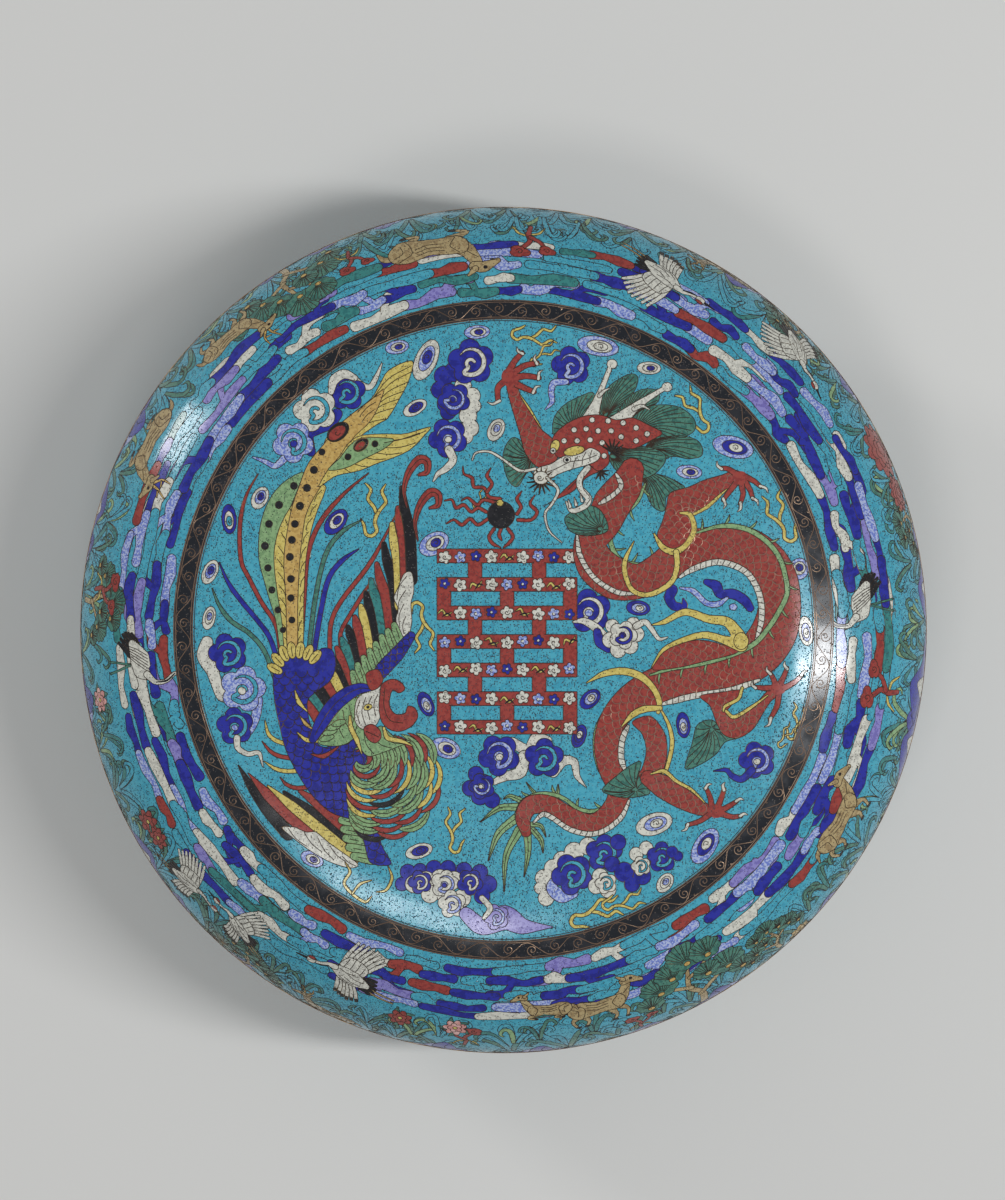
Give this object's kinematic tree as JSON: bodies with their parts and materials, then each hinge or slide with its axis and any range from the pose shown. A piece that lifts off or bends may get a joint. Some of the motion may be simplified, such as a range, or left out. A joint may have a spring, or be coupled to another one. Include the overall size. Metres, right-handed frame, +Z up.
{
  "type": "round cloisonne enamel box with cover",
  "caption": "Low round box with a lift-off domed cover, cloisonne enamel over copper with a dragon and phoenix roundel, gilt mouth bands and a gilt foot ring.",
  "frame": {"origin": "on the box's axis, at the surface that the foot ring stands on", "axes": "+Z up along the axis of the box; +Y towards the top of the roundel on the cover; +X to the right of the roundel"},
  "size_m": [0.4216, 0.4216, 0.156],
  "materials": {
    "turquoise_enamel": "polished enamel, finely pitted",
    "gilded_copper": "worn mercury gilding"
  },
  "bodies": {
    "root": {"lid": "turquoise_enamel", "bowl": "turquoise_enamel", "lid_band": "gilded_copper", "bowl_band": "gilded_copper", "foot_ring": "gilded_copper"}
  },
  "joints": []
}
